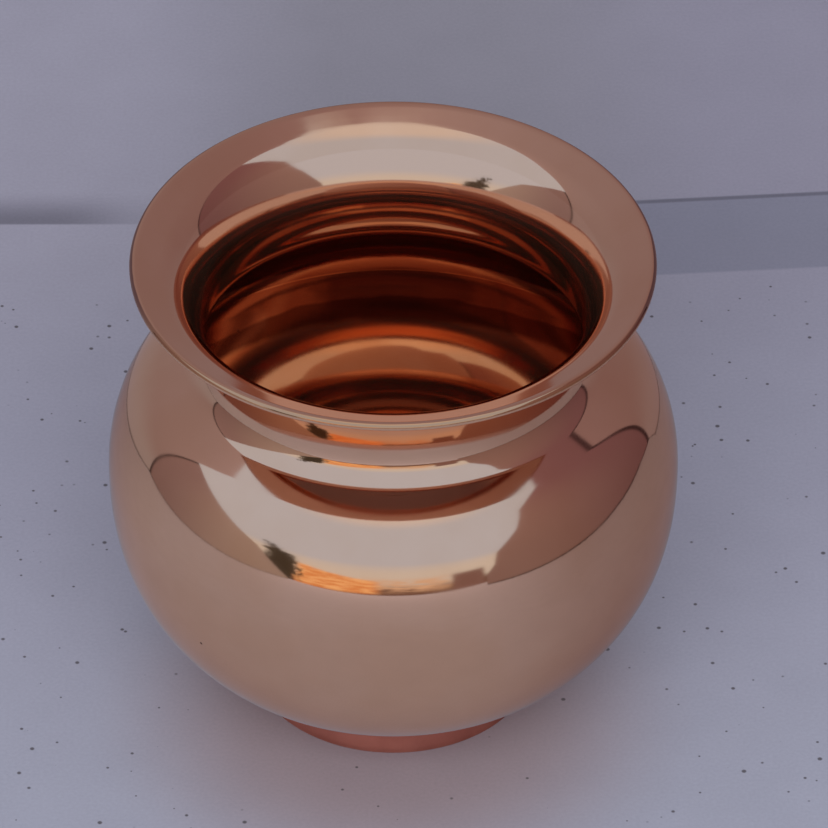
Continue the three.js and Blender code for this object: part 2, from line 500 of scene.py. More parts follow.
class SharedEffects:
    """Shader node groups that several finishes use, each built once."""

    def start(self, name: str, inputs: dict[str, float], output: str) -> tuple[Wiring, Node, Node]:
        """Start a node group that takes a place and some values.

        Args:
            name: The group's name.
            inputs: The values that it takes, with what they are where nothing feeds them.
            output: The name of its one output.

        Returns:
            The group's wiring, its input node and its output node.
        """
        tree = bpy.data.node_groups.new(name, "ShaderNodeTree")
        tree.interface.new_socket("Place", in_out="INPUT", socket_type="NodeSocketVector")
        for key, value in inputs.items():
            socket = tree.interface.new_socket(key, in_out="INPUT", socket_type="NodeSocketFloat")
            socket.default_value = value
        tree.interface.new_socket(output, in_out="OUTPUT", socket_type="NodeSocketFloat")
        wire = Wiring(tree)
        return wire, wire.add("NodeGroupInput"), wire.add("NodeGroupOutput")

    @cached_property
    def turned_lines(self) -> Tree:
        """Fine lines round the axis, left by polishing on a lathe."""
        inputs = {"Lines per metre": 3000.0, "Breaks per metre": 40.0}
        wire, given, made = self.start("turned lines", inputs, "Height")
        x, y, z = wire.split(given.outputs["Place"])
        radius = wire.distance(x, y)
        lines, breaks = given.outputs["Lines per metre"], given.outputs["Breaks per metre"]
        vector = wire.join(wire.times(radius, lines), wire.times(z, lines), wire.times(x, breaks))
        inputs = {"Vector": vector, "W": wire.times(y, breaks), "Scale": 1.0, "Detail": 2.0}
        noise = wire.add("ShaderNodeTexNoise", inputs, noise_dimensions="4D")
        wire.feed(made.inputs["Height"], noise.outputs["Fac"])
        return wire.tree

    @cached_property
    def patches(self) -> Tree:
        """Soft patches, such as thin film on metal or rubbed places."""
        inputs = {"Patches per metre": 30.0, "Bareness": 0.5, "Softness": 0.15}
        wire, given, made = self.start("patches", inputs, "Mask")
        noise = wire.noise(given.outputs["Place"], given.outputs["Patches per metre"], 4.0, 0.55)
        bareness, softness = given.outputs["Bareness"], given.outputs["Softness"]
        low, high = wire.minus(bareness, softness), wire.plus(bareness, softness)
        wire.feed(made.inputs["Mask"], wire.fade(noise, low, high))
        return wire.tree

    @cached_property
    def specks(self) -> Tree:
        """Small dark specks, scattered thinly."""
        inputs = {"Cells per metre": 150.0, "Share of cells": 0.1, "Size in cells": 0.08}
        wire, given, made = self.start("specks", inputs, "Mask")
        cells = {"Vector": given.outputs["Place"], "Scale": given.outputs["Cells per metre"]}
        voronoi = wire.add("ShaderNodeTexVoronoi", cells)
        chance, size_chance, _ = wire.split(voronoi.outputs["Color"])
        chosen = wire.math("LESS_THAN", chance, given.outputs["Share of cells"])
        spread_size = wire.plus(wire.times(size_chance, 0.8), 0.5)
        size = wire.times(given.outputs["Size in cells"], spread_size)
        spot = wire.fade(voronoi.outputs["Distance"], size, wire.times(size, 0.5))
        wire.feed(made.inputs["Mask"], wire.times(chosen, spot))
        return wire.tree

    def use(self, wire: Wiring, group: Tree, place: Socket, values: dict[str, Input]) -> Socket:
        """Place a group in a tree and give its one output."""
        inputs = {"Place": place, **values}
        return wire.add("ShaderNodeGroup", inputs, node_tree=group).outputs[0]


@dataclass(frozen=True)
class MetalFinish:
    """Polished or brushed metal with film, rubbed patches, turned lines and specks."""

    name: str
    colour: Colour
    film_colour: Colour
    speck_colour: Colour
    roughness: float
    film_strength: float = 0.7
    film_patches: float = 34.0
    rub_roughness: float = 0.04
    rub_patches: float = 55.0
    rub_bareness: float = 0.55
    line_roughness: float = 0.02
    line_density: float = 3000.0
    line_height: float = 0.00002 * MM
    wave_height: float = 0.006 * MM
    waves_per_metre: float = 45.0
    speck_share: float = 0.10
    speck_cells: float = 160.0
    speck_size: float = 0.06
    speck_roughness: float = 0.4
    metallic: float = 1.0
    edge_tint: Colour = (0.94, 0.82, 0.80)

    def shade(self, wire: Wiring, place: Socket, colour: Socket) -> Socket:
        """Change the colour by place, where a finish needs it."""
        return colour

    def build(self, effects: SharedEffects) -> Material:
        """Build the material.

        Args:
            effects: The shared node groups.

        Returns:
            The finished material.
        """
        material, wire = start_material(self.name)
        shader = wire.add("ShaderNodeBsdfPrincipled")
        wire.add("ShaderNodeOutputMaterial", {"Surface": shader.outputs[0]})
        place = wire.place()
        film = effects.use(wire, effects.patches, place, {"Patches per metre": self.film_patches})
        rubbing = {"Patches per metre": self.rub_patches, "Bareness": self.rub_bareness}
        rubs = effects.use(wire, effects.patches, place, rubbing)
        turning = {"Lines per metre": self.line_density}
        lines = effects.use(wire, effects.turned_lines, place, turning)
        speckling = {
            "Cells per metre": self.speck_cells,
            "Share of cells": self.speck_share,
            "Size in cells": self.speck_size,
        }
        specks = effects.use(wire, effects.specks, place, speckling)
        filmed = wire.blend(wire.times(film, self.film_strength), self.colour, self.film_colour)
        filmed = self.shade(wire, place, filmed)
        wire.feed(shader.inputs["Base Color"], wire.blend(specks, filmed, self.speck_colour))
        roughness = wire.plus(
            self.roughness,
            wire.times(rubs, self.rub_roughness),
            wire.times(lines, self.line_roughness),
            wire.times(specks, self.speck_roughness),
        )
        wire.feed(shader.inputs["Roughness"], roughness)
        shader.inputs["Metallic"].default_value = self.metallic
        shader.inputs["Specular Tint"].default_value = (*self.edge_tint, 1.0)
        waves = wire.noise(place, self.waves_per_metre, 1.0)
        height = wire.plus(wire.times(waves, self.wave_height), wire.times(lines, self.line_height))
        bump = wire.add("ShaderNodeBump", {"Height": height, "Distance": 1.0, "Strength": 1.0})
        wire.feed(shader.inputs["Normal"], bump.outputs["Normal"])
        return material


@dataclass(frozen=True)
class OuterFinish(MetalFinish):
    """The pot's polished outside, with a painted dark line of shade round the lip's folded edge,
    paler in front.
    """

    # Colours of the painted shade on the fold's edge: dark behind, paler in front.
    rim_shade_colour: Colour = (0.24, 0.12, 0.11)
    front_shade_colour: Colour = (0.62, 0.31, 0.17)
    rim_radius: float = 49.98 * MM
    rim_height: float = 100.55 * MM
    rim_front: Span = (-10.0 * MM, -30.0 * MM)
    rim_waves: float = 160.0
    rim_wander: float = 0.25 * MM
    rim_shade_strength: float = 0.9
    softness: float = 0.10 * MM

    def shade(self, wire: Wiring, place: Socket, colour: Socket) -> Socket:
        """Darken the fold's outermost line with painted shade, paler in front."""
        x, y, height = wire.split(place)
        wander = wire.times(wire.noise(place, self.rim_waves), self.rim_wander)
        edge = wire.minus(wire.distance(x, y), wander)
        # Painted shade: a dark line along the top of the fold's edge, paler in front.
        line = wire.step(edge, self.rim_radius, self.softness)
        above = wire.step(height, self.rim_height, self.softness)
        rim_shade = wire.blend(wire.fade(y, *self.rim_front), self.rim_shade_colour, self.front_shade_colour)
        return wire.blend(wire.times(line, above, self.rim_shade_strength), colour, rim_shade)


@dataclass(frozen=True)
class UnderFinish(MetalFinish):
    """The lip's underside, rougher than the outside and a little darker with painted shade, with
    deeper painted shade in front.
    """

    # Colour of the painted shade under the lip's front.
    under_lip_shade_colour: Colour = (0.16, 0.075, 0.065)
    under_lip_shade_strength: float = 0.85
    under_lip_shade_front: Span = (-26.0 * MM, -38.0 * MM)
    under_lip_shade_ring: Span = (40.0 * MM, 46.2 * MM)
    under_lip_shade_waves: float = 70.0
    under_lip_shade_wander: float = 14.0 * MM
    softness: float = 0.5 * MM

    def shade(self, wire: Wiring, place: Socket, colour: Socket) -> Socket:
        """Darken the front inside the fold, unevenly, with painted shade."""
        x, y, _ = wire.split(place)
        ring = wire.band(wire.distance(x, y), *self.under_lip_shade_ring, self.softness)
        uneven = wire.wander(place, self.under_lip_shade_waves, self.under_lip_shade_wander)
        # Painted shade under the lip, uneven and strongest in front.
        under_lip_shade = wire.fade(wire.plus(y, uneven), *self.under_lip_shade_front)
        share = wire.times(under_lip_shade, ring, self.under_lip_shade_strength)
        return wire.blend(share, colour, self.under_lip_shade_colour)


@dataclass(frozen=True)
class InnerFinish(MetalFinish):
    """The inside: bright at the mouth, with water stains in the bowl and dark in the shoulder."""

    stain_colour: Colour = (0.20, 0.08, 0.06)
    neck_colour: Colour = (0.60, 0.27, 0.16)
    mouth_colour: Colour = (0.82, 0.47, 0.32)
    bottom_colour: Colour = (0.50, 0.22, 0.13)
    patch_colour: Colour = (0.46, 0.17, 0.10)
    patches_per_metre: float = 30.0
    patch_edge: Span = (0.42, 0.52)
    patch_heights: Span = (45.0 * MM, 58.0 * MM)
    patch_softness: float = 2.5 * MM
    line_colour: Colour = (0.20, 0.065, 0.045)
    line_start: float = 43.8 * MM
    line_end: float = 48.6 * MM
    line_strength: float = 0.9
    line_sway: float = 1.6
    stain_heights: Span = (59.3 * MM, 70.5 * MM)
    stain_softness: float = 0.5 * MM
    neck_start: float = 77.0 * MM
    mouth_start: float = 88.5 * MM
    bottom_radius: float = 17.0 * MM
    bottom_height: float = 20.0 * MM
    waves: float = 45.0
    wave_reach: float = 5.0 * MM
    change: float = 1.0 * MM

    def shade(self, wire: Wiring, place: Socket, colour: Socket) -> Socket:
        """Darken the colour in patches, along the water line, and where no buff reaches."""
        x, y, height = wire.split(place)
        wander = wire.wander(place, self.waves, self.wave_reach)
        edge = wire.plus(height, wander)
        patches = wire.fade(wire.noise(place, self.patches_per_metre), *self.patch_edge)
        bowl = wire.band(height, *self.patch_heights, self.patch_softness)
        colour = wire.blend(wire.times(patches, bowl), colour, self.patch_colour)
        rise = wire.step(edge, self.line_start, self.change)
        swayed = wire.plus(height, wire.times(wander, self.line_sway))
        fall = wire.fade(swayed, self.line_end + self.change, self.line_end)
        colour = wire.blend(wire.times(rise, fall, self.line_strength), colour, self.line_colour)
        levels = ((self.neck_start, self.neck_colour), (self.mouth_start, self.mouth_colour))
        for start, level in levels:
            colour = wire.blend(wire.step(edge, start, self.change), colour, level)
        stain = wire.band(edge, *self.stain_heights, self.stain_softness)
        colour = wire.blend(stain, colour, self.stain_colour)
        reach = wire.plus(wire.distance(x, y), wander)
        middle = wire.step(reach, self.bottom_radius, -self.change)
        low = wire.math("LESS_THAN", height, self.bottom_height)
        return wire.blend(wire.times(middle, low), colour, self.bottom_colour)


@dataclass(frozen=True)
class TurnedPiece:
    """A piece of the pot that is turned about its axis."""

    profile: PotProfile
    modeller: Modeller
    finishes: tuple[Material, ...]
    turns: int = 256
    node: str = ""
    form: str = "sheet"
    slot: Slot = Slot.POLISHED

    def outline(self) -> Outline:
        """Give the closed outline that is turned."""
        raise NotImplementedError

    def soften(self, piece: Piece) -> None:
        """Soften the edges that need it."""

    def finish_number(self, face: Face) -> int:
        """Number the finish that a face has: sheets have the second one on their inside."""
        middle = Vector((0.0, 0.0, self.profile.belly_height))
        return int(face.normal.dot(middle - face.center) > 0.0)

    def build(self) -> Piece:
        """Turn the piece, finish it and put it in its CAD node's place.

        Returns:
            The finished piece.
        """
        piece = self.modeller.turn(f"{self.node}_{self.form}", self.outline(), self.turns)
        self.soften(piece)
        self.modeller.smooth(piece)
        for finish in self.finishes:
            piece.data.materials.append(finish)
        if len(self.finishes) > 1:
            for face in piece.data.polygons:
                face.material_index = self.finish_number(face)
        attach(piece, BODY)
        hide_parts(self.node)
        return piece


@dataclass(frozen=True)
class LowerBowl(TurnedPiece):
    """The round bowl, with a thinned edge that reaches up along the shoulder's inside."""

    node: str = "lower_bowl"
    lap: LapJoint = field(default_factory=LapJoint)
    bowl_steps: int = 96
    lap_steps: int = 6
    edge_lean: float = 0.001

    def outline(self) -> Outline:
        """Give the sheet's outside, its edge and its inside, from pole to pole."""
        profile, shoulder = self.profile, self.profile.shoulder
        last_lean = math.pi / 2 / self.bowl_steps
        leans = [*spread(math.pi / 2, last_lean, self.bowl_steps - 1), self.edge_lean, 0.0]
        outside = [profile.bowl_point(lean) for lean in leans]
        inside = [profile.bowl_point(lean, profile.wall) for lean in reversed(leans)]
        outside[0].x = inside[-1].x = 0.0
        top = profile.slope_at(self.lap.height)
        step = profile.wall - self.lap.thin_wall(profile)
        edge_outside = shoulder.points(0.0, top, self.lap_steps, step)
        edge_inside = shoulder.points(top, 0.0, self.lap_steps, profile.wall)
        return outside + edge_outside + edge_inside + inside[1:]


@dataclass(frozen=True)
class UpperShell(TurnedPiece):
    """Shoulder, neck and lip in one sheet, with the lip's edge folded back underneath."""

    node: str = "upper_shell"
    lap: LapJoint = field(default_factory=LapJoint)
    shoulder_steps: int = 20
    knuckle_steps: int = 20
    fillet_steps: int = 26
    flare_steps: int = 20
    bend_steps: int = 16
    flat_steps: int = 6
    fold_steps: int = 10
    lap_steps: int = 6
    edge_slope: float = 0.001
    hem_softness: float = 0.12 * MM
    under_slope: float = -0.6

    def finish_number(self, face: Face) -> int:
        """Number the finish that a face has, with the third one under the lip."""
        outward = face.normal.x * face.center.x + face.normal.y * face.center.y
        if outward > 0.0 and face.normal.z < self.under_slope:
            return 2
        return super().finish_number(face)

    def side(self, lowest: float, depth: float) -> Outline:
        """Give one side of the sheet, from the joint up to the lip's edge.

        Args:
            lowest: The slope at which this side starts.
            depth: How far in from the outside it lies.

        Returns:
            Points from the joint to the fold.
        """
        profile = self.profile
        points = profile.shoulder.points(
            lowest, profile.shoulder_turn, self.shoulder_steps, depth
        )
        points.insert(1, profile.shoulder.point(lowest + self.edge_slope, depth))
        arcs = (
            (profile.knuckle, profile.shoulder_turn, profile.shoulder_slope, self.knuckle_steps),
            (profile.fillet, profile.shoulder_slope, 0.0, self.fillet_steps),
            (profile.flare, 0.0, -profile.flare_turn, self.flare_steps),
            (profile.bend, -profile.flare_turn, -profile.lip_turn, self.bend_steps),
        )
        for arc, first, last, steps in arcs:
            found = arc.points(first, last, steps, depth)
            points += found if arc is profile.fillet else found[1:]
        lengths = spread(0.0, profile.lip_flat, self.flat_steps)[1:]
        return points + [profile.lip_point(length, depth) for length in lengths]

    def outline(self) -> Outline:
        """Give the sheet's closed outline."""
        profile = self.profile
        foot = profile.slope_at(profile.braze_film)
        ledge = profile.slope_at(self.lap.height + profile.braze_film)
        outside = self.side(foot, 0.0)
        inside = self.side(ledge, profile.wall)
        turns = spread(0.0, math.pi, self.fold_steps)
        fold_inside = [profile.fold_point(turn, profile.hem_gap / 2) for turn in turns]
        fold_outside = [profile.fold_point(turn, profile.nose) for turn in reversed(turns)]
        lengths = spread(profile.lip_flat, profile.hem_margin, self.flat_steps)
        hem_inside = [profile.lip_point(length, -profile.hem_gap) for length in lengths]
        under = -profile.hem_gap - profile.wall
        hem_outside = [profile.lip_point(length, under) for length in reversed(lengths)]
        edge = profile.shoulder.points(ledge, foot, self.lap_steps, self.lap.thin_wall(profile))
        folded = fold_inside[1:] + hem_inside[1:] + hem_outside + fold_outside[1:]
        return outside + folded + inside[-2::-1] + edge + outside[:1]

    def soften(self, piece: Piece) -> None:
        """Soften the hem's cut edge."""
        profile = self.profile
        depths = (-profile.hem_gap, -profile.hem_gap - profile.wall)
        corners = [profile.lip_point(profile.hem_margin, depth) for depth in depths]
        self.modeller.soften_ring(piece, corners, self.hem_softness)


@dataclass(frozen=True)
class BellyBraze(TurnedPiece):
    """The alloy between the thinned edges, dressed flush and polished on both sides."""

    node: str = "belly_braze"
    form: str = "line"
    slot: Slot = Slot.BRAZE
    lap: LapJoint = field(default_factory=LapJoint)
    film_steps: int = 6
    polished_depth: float = 0.1 * MM

    def finish_number(self, face: Face) -> int:
        """Number the finish that a face has, with the second one in the sheet's surfaces."""
        profile, depth = self.profile, self.polished_depth
        radius = math.hypot(face.center.x, face.center.y)
        inside = profile.shoulder.point(profile.slope_at(self.lap.height), profile.wall).x
        return int(radius > profile.belly_radius - depth or radius < inside + depth)

    def outline(self) -> Outline:
        """Give the ring's closed outline."""
        profile, lap = self.profile, self.lap
        shoulder, film, fit = profile.shoulder, profile.braze_film, lap.clearance
        outer = lap.thin_wall(profile) + fit
        inner = profile.wall - outer
        line_top, ledge_low = profile.slope_at(film), profile.slope_at(lap.height)
        ledge_top = profile.slope_at(lap.height + film)
        low, high = profile.slope_at(fit), profile.slope_at(lap.height + film - fit)
        line = [shoulder.point(0.0), shoulder.point(line_top)]
        outside = shoulder.points(profile.slope_at(film - fit), high, self.film_steps, outer)
        ledge = [shoulder.point(ledge_top, profile.wall), shoulder.point(ledge_low, profile.wall)]
        inside = shoulder.points(profile.slope_at(lap.height + fit), low, self.film_steps, inner)
        return [*line, *outside, *ledge, *inside, line[0].copy()]


@dataclass(frozen=True)
class FootSizes:
    """Sizes of the ring that the pot stands on, and of its brazing."""

    radius: float = 27.8 * MM
    top_radius: float = 26.6 * MM
    wall: float = 1.2 * MM
    edge_round: float = 0.3 * MM
    fillet: float = 0.8 * MM
    clearance: float = 0.05 * MM

    def top(self, profile: PotProfile, depth: float) -> Vector:
        """Give a corner of the ring's top edge, moved in from its outside by depth."""
        radius = self.top_radius - depth
        return Vector((radius, profile.bowl_height(radius) - profile.braze_film))


@dataclass(frozen=True)
class FootRing(TurnedPiece):
    """The ring that the pot stands on, leaning in towards the bowl."""

    node: str = "foot_ring"
    form: str = "band"
    slot: Slot = Slot.FOOT
    sizes: FootSizes = field(default_factory=FootSizes)
    edge_steps: int = 5
    side_steps: int = 6

    def outline(self) -> Outline:
        """Give the ring's closed outline."""
        sizes = self.sizes
        edge = hollow_corner(
            Vector((sizes.radius - sizes.edge_round, 0.0)),
            Vector((sizes.radius, 0.0)),
            Vector((sizes.radius, sizes.edge_round)),
            self.edge_steps,
        )
        inner_edge = Vector((sizes.radius - sizes.wall, 0.0))
        outer_top = sizes.top(self.profile, 0.0)
        side = [edge[-1].lerp(outer_top, share) for share in spread(0.0, 1.0, self.side_steps)]
        inner_top = sizes.top(self.profile, sizes.wall)
        return [inner_edge, *edge, *side[1:], inner_top, inner_edge.copy()]


@dataclass(frozen=True)
class FootBraze(TurnedPiece):
    """The alloy between ring and bowl, hollow in the corner on each side."""

    node: str = "foot_braze"
    form: str = "bead"
    slot: Slot = Slot.BRAZE
    sizes: FootSizes = field(default_factory=FootSizes)
    corner_steps: int = 6
    bowl_steps: int = 8

    def touch(self, radius: float) -> Vector:
        """Give the place just under the bowl at a radius."""
        return Vector((radius, self.profile.bowl_height(radius) - self.sizes.clearance))

    def outline(self) -> Outline:
        """Give the brazing's closed outline."""
        sizes = self.sizes
        outer_top, inner_top = sizes.top(self.profile, 0.0), sizes.top(self.profile, sizes.wall)
        slant = sizes.radius - sizes.top_radius
        outer_lean = slant / (outer_top.y - sizes.edge_round)
        inner_lean = slant / inner_top.y
        gap = Vector((sizes.clearance, sizes.clearance))
        outer_wall = outer_top + gap
        inner_wall = inner_top + Vector((-gap.x, gap.y))
        outer_low = Vector((outer_wall.x + outer_lean * sizes.fillet, outer_top.y - sizes.fillet))
        inner_low = Vector((inner_wall.x + inner_lean * sizes.fillet, inner_top.y - sizes.fillet))
        outer_touch, inner_touch = sizes.top_radius + sizes.fillet, inner_wall.x - sizes.fillet
        outer_corner = hollow_corner(
            outer_low, self.touch(outer_wall.x), self.touch(outer_touch), self.corner_steps
        )
        radii = spread(outer_touch, inner_touch, self.bowl_steps)[1:-1]
        inner_corner = hollow_corner(
            self.touch(inner_touch), self.touch(inner_wall.x), inner_low, self.corner_steps
        )
        under_bowl = [self.touch(radius) for radius in radii]
        ends = [inner_wall, outer_wall, outer_low.copy()]
        return [*outer_corner, *under_bowl, *inner_corner, *ends]


@dataclass(frozen=True)
class FloorFinish:
    """Pale lavender paper with crumbs, and painted light and shade: lighter in front, a painted
    shadow warmed by painted copper bounce next to the pot, painted shade along its folds, and a
    brighter painted colour for mirrored rays than the camera sees.
    """

    # Colours seen by the camera: painted light in front, painted shade towards the back, lighter at
    # the back left.
    front: Colour = (0.345, 0.357, 0.455)
    middle: Colour = (0.325, 0.325, 0.425)
    back: Colour = (0.275, 0.266, 0.33)
    back_left: Colour = (0.345, 0.335, 0.43)
    back_right: Colour = (0.30, 0.288, 0.38)
    # Painted shadow of the pot, warmed by painted copper bounce.
    pot_shadow_and_bounce: Colour = (0.31, 0.255, 0.29)
    # Painted shade on the paper's fold to the right, and along its crease.
    shaded_strip: Colour = (0.234, 0.234, 0.315)
    line: Colour = (0.10, 0.095, 0.13)
    crumb: Colour = (0.075, 0.065, 0.075)
    # Colours for mirrored rays: brighter painted light, with painted shade to the right and at the
    # back.
    mirrored: Colour = (0.375, 0.42, 0.51)
    mirrored_right_shade: Colour = (0.28, 0.28, 0.335)
    mirrored_back_shade: Colour = (0.26, 0.27, 0.335)
    paper_front: float = -700.0 * MM
    middle_change: Span = (-60.0 * MM, 70.0 * MM)
    back_change: Span = (60.0 * MM, 150.0 * MM)
    left_change: Span = (-10.0 * MM, -60.0 * MM)
    right_change: Span = (20.0 * MM, 75.0 * MM)
    pot_shadow_centre: float = 16.0 * MM
    pot_shadow_reach: Span = (62.0 * MM, 24.0 * MM)
    shaded_strip_side: Span = (20.0 * MM, 30.0 * MM)
    shaded_strip_edges: Span = (119.5 * MM, 144.75 * MM)
    shaded_strip_softness: float = 0.5 * MM
    crease_shade_edges: Span = (143.8 * MM, 145.0 * MM)
    crease_shade_softness: float = 0.35 * MM
    line_strength: float = 0.6
    slant: float = 0.075
    fold_place: float = 141.0 * MM
    fold_softness: float = 0.4 * MM
    fold_fade: Span = (153.0 * MM, 142.0 * MM)
    fold_side: Span = (-20.0 * MM, -30.0 * MM)
    fold_deeper: Span = (-50.0 * MM, -72.0 * MM)
    crumbs_per_metre: float = 270.0
    crumb_size: float = 0.13
    crumb_strength: float = 0.85
    crumb_side: Span = (30.0 * MM, 60.0 * MM)
    crumb_end: Span = (125.0 * MM, 110.0 * MM)
    right_azimuths: Span = (15.0, 80.0)
    back_azimuths: Span = (-95.0, -150.0)

    def seen(self, wire: Wiring, effects: SharedEffects, place: Socket) -> Socket:
        """Give the colour that the camera sees.

        Args:
            wire: The material's wiring.
            effects: The shared node groups.
            place: The place on the floor.

        Returns:
            The colour's socket.
        """
        x, y, _ = wire.split(place)
        # Painted light and shade: lighter in front, darker towards the back, lighter at the back
        # left.
        colour = wire.blend(wire.fade(y, *self.middle_change), self.front, self.middle)
        back = wire.blend(wire.fade(x, *self.left_change), self.back, self.back_left)
        back = wire.blend(wire.fade(x, *self.right_change), back, self.back_right)
        colour = wire.blend(wire.fade(y, *self.back_change), colour, back)
        # Painted shadow of the pot, warmed by painted copper bounce.
        reach = wire.distance(x, wire.plus(y, self.pot_shadow_centre))
        colour = wire.blend(wire.fade(reach, *self.pot_shadow_reach), colour, self.pot_shadow_and_bounce)
        # Painted shade on the fold to the right: a darker strip and a dark crease line.
        right = wire.fade(x, *self.shaded_strip_side)
        slanted = wire.minus(y, wire.times(x, self.slant))
        shaded_strip = wire.band(slanted, *self.shaded_strip_edges, self.shaded_strip_softness)
        colour = wire.blend(wire.times(shaded_strip, right), colour, self.shaded_strip)
        line = wire.band(slanted, *self.crease_shade_edges, self.crease_shade_softness)
        colour = wire.blend(wire.times(line, right, self.line_strength), colour, self.line)
        # Painted shade above the fold to the left.
        under = wire.step(y, self.fold_place, self.fold_softness)
        over = wire.fade(y, *self.fold_fade)
        depth = wire.plus(wire.times(wire.fade(x, *self.fold_deeper), 0.45), 0.2)
        shade = wire.times(under, over, wire.fade(x, *self.fold_side), depth)
        colour = wire.blend(shade, colour, self.line)
        beside = wire.fade(wire.math("ABSOLUTE", x), *self.crumb_side)
        share = wire.plus(wire.times(beside, 0.55), 0.35)
        scatter = {
            "Cells per metre": self.crumbs_per_metre,
            "Share of cells": wire.times(share, wire.fade(y, *self.crumb_end)),
            "Size in cells": self.crumb_size,
        }
        crumbs = effects.use(wire, effects.specks, place, scatter)
        return wire.blend(wire.times(crumbs, self.crumb_strength), colour, self.crumb)

    def mirrored_colour(self, wire: Wiring, x: Socket, y: Socket) -> Socket:
        """Give the colour that the pot mirrors, by the place on the floor, with painted shade to the
        right and at the back.
        """
        azimuth = wire.azimuth(x, y)
        right = wire.fade(azimuth, *self.right_azimuths)
        colour = wire.blend(right, self.mirrored, self.mirrored_right_shade)
        return wire.blend(wire.fade(azimuth, *self.back_azimuths), colour, self.mirrored_back_shade)

    def build(self, effects: SharedEffects) -> Material:
        """Build the material, which is clear for mirrored rays in front of the paper.

        Args:
            effects: The shared node groups.

        Returns:
            The finished material.
        """
        material, wire = start_material("pale_paper")
        satin = {"Roughness": 0.9, "Specular IOR Level": 0.1}
        shader = wire.add("ShaderNodeBsdfPrincipled", satin)
        place, glossy = wire.place(), wire.glossy()
        x, y, _ = wire.split(place)
        seen = self.seen(wire, effects, place)
        # Mirrored rays see a brighter painted colour than the camera does.
        colour = wire.blend(glossy, seen, self.mirrored_colour(wire, x, y))
        mottle = wire.times(wire.noise(place, 60.0, 3.0), 0.10)
        grain = wire.times(wire.noise(place, 1400.0), 0.16)
        tone = wire.plus(mottle, grain, 0.87)
        toned = wire.blend(1.0, colour, wire.join(tone, tone, tone), "MULTIPLY")
        wire.feed(shader.inputs["Base Color"], toned)
        clear = wire.add("ShaderNodeBsdfTransparent").outputs[0]
        beyond = wire.times(wire.math("LESS_THAN", y, self.paper_front), glossy)
        surface = wire.mix_surfaces(beyond, shader.outputs[0], clear)
        wire.add("ShaderNodeOutputMaterial", {"Surface": surface})
        return material


@dataclass(frozen=True)
class PaperWall:
    """A standing sheet of paper that only the pot mirrors, with painted shading from one azimuth to
    another, painted light and shade by height, and painted shade at its foot and towards its corner.

    Each of its points is a place along its base, x and y, and the wall's height there.
    """

    name: str
    points: tuple[WallPoint, ...]
    near: Colour
    far: Colour
    near_azimuth: float
    far_azimuth: float
    # Painted light: how much the glow grows with height.
    lift: float = 0.6
    # Painted shade: the colour that the wall turns towards at its top.
    upper: Colour = (1.0, 1.0, 1.0)
    upper_change: Span = (30.0 * MM, 170.0 * MM)
    # Share and height of the painted shade at the wall's foot.
    seam_shade: float = 0.5
    seam_shade_height: float = 6.0 * MM
    corner_start: float = 9.0
    corner_width: float = 10.0 * MM
    corner_shade: float = 0.25

    def finish(self) -> Material:
        """Build the wall's material, which glows for mirrored rays and is clear for all others."""
        material, wire = start_material(self.name)
        x, y, z = wire.split(wire.place())
        angle = wire.azimuth(x, y)
        if self.near_azimuth < -180.0:
            angle = wire.minus(angle, wire.times(wire.math("GREATER_THAN", angle, 0.0), 360.0))
        along = wire.fade(angle, self.near_azimuth, self.far_azimuth)
        colour = wire.blend(along, self.near, self.far)
        # Painted shade towards the top, and painted light that grows with height.
        upper = wire.blend(1.0, colour, self.upper, "MULTIPLY")
        colour = wire.blend(wire.fade(z, *self.upper_change), colour, upper)
        rise = wire.plus(wire.times(z, self.lift), 1.0)
        # Painted shade at the wall's foot, where it meets the floor.
        base = wire.fade(z, 0.4 * self.seam_shade_height, self.seam_shade_height)
        seam_shade = wire.plus(wire.times(base, 1.0 - self.seam_shade), self.seam_shade)
        corner = wire.fade(y, self.corner_start, self.corner_start + self.corner_width)
        corner = wire.plus(wire.times(corner, self.corner_shade - 1.0), 1.0)
        light = {"Color": colour, "Strength": wire.times(rise, seam_shade, corner)}
        glow = wire.add("ShaderNodeEmission", light).outputs[0]
        clear = wire.add("ShaderNodeBsdfTransparent").outputs[0]
        surface = wire.mix_surfaces(wire.glossy(), clear, glow)
        wire.add("ShaderNodeOutputMaterial", {"Surface": surface})
        return material

    def build(self, modeller: Modeller) -> Piece:
        """Draw the wall's base, raise it and cut its top to height.

        Args:
            modeller: The modelling tools.

        Returns:
            The wall's object.
        """
        wall = modeller.start_chain(self.name, Vector((*self.points[0][:2], 0.0)))
        for start, end in zip(self.points, self.points[1:]):
            modeller.extend_chain(Vector((end[0] - start[0], end[1] - start[1], 0.0)))
        bpy.ops.mesh.select_all(action="SELECT")
        modeller.extend_chain(Vector((0.0, 0.0, 1.0)))
        bpy.ops.object.mode_set(mode="OBJECT")
        for vertex in wall.data.vertices:
            if vertex.co.z > 0.5:
                place = vertex.co[:2]
                nearest = min(self.points, key=lambda point: math.dist(point[:2], place))
                vertex.co.z = nearest[2]
        wall.data.materials.append(self.finish())
        return wall


